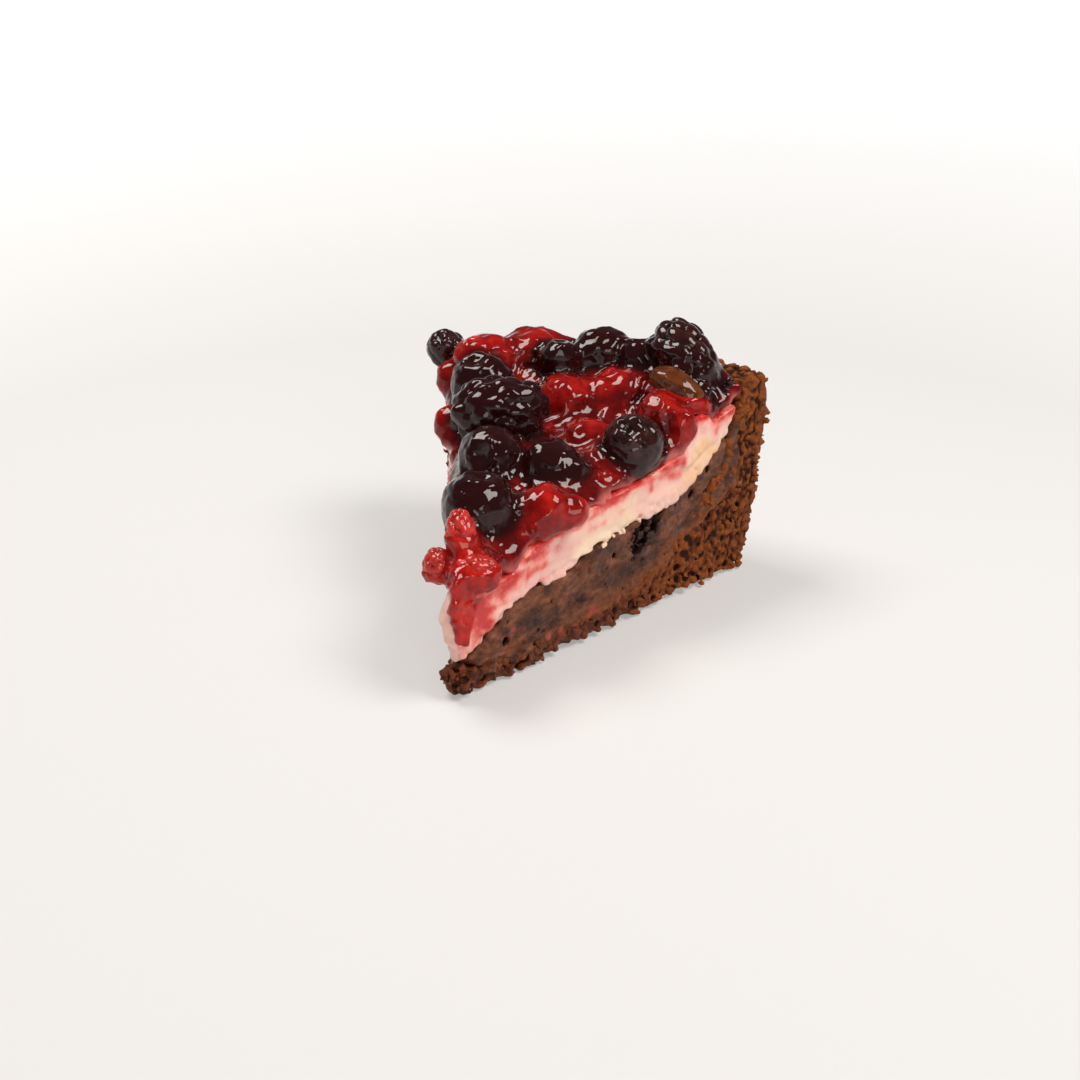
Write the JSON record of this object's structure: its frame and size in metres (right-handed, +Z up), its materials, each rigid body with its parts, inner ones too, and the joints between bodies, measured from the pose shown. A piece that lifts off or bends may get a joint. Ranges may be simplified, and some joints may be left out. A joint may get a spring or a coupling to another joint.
{
  "type": "slice of chocolate cake with berry topping",
  "caption": "Wedge of cake with a cocoa crumb crust and rim, chocolate filling, a cream layer, and mixed berries set in glossy red jelly on top.",
  "frame": {"origin": "on the base's plane, on the slice's middle line, 62 mm out from the tip", "axes": "+Y from the tip out to the rim along the middle line, +X across to the right-hand cut, +Z up"},
  "size_m": [0.0956, 0.1202, 0.0688],
  "materials": {
    "cocoa_crumb": "coarse dry cocoa crumb",
    "chocolate": "dense, slightly moist cut chocolate",
    "cream": "smooth moist cream, stained pink near the jelly",
    "jelly": "glossy clear red jelly",
    "dark_berry": "glazed blue-black skin",
    "red_berry": "glazed red flesh",
    "amber_skin": "glazed brown-amber skin"
  },
  "bodies": {
    "root": {"crust": "cocoa_crumb", "chocolate_filling": "chocolate", "cream_layer": "cream", "berry_jelly": "jelly", "blueberry_back_left": "dark_berry", "blueberry_back_right": "dark_berry", "blueberry_filmed": "dark_berry", "blueberry_front": "dark_berry", "blueberry_left": "dark_berry", "blueberry_mid": "dark_berry", "blueberry_mid_back": "dark_berry", "blueberry_right": "dark_berry", "bramble_back": "dark_berry", "bramble_left": "dark_berry", "bramble_top_right": "dark_berry", "amber_berry": "amber_skin", "currant_low": "red_berry", "currant_mid": "red_berry", "currant_right": "red_berry", "raspberry_back": "red_berry", "raspberry_back_left": "red_berry", "raspberry_edge_back": "red_berry", "raspberry_edge_left": "red_berry", "raspberry_low": "red_berry", "raspberry_mid_left": "red_berry", "raspberry_mid_right": "red_berry", "raspberry_piece": "red_berry", "raspberry_right": "red_berry", "raspberry_tip": "red_berry", "raspberry_tip_left": "red_berry"}
  },
  "joints": []
}
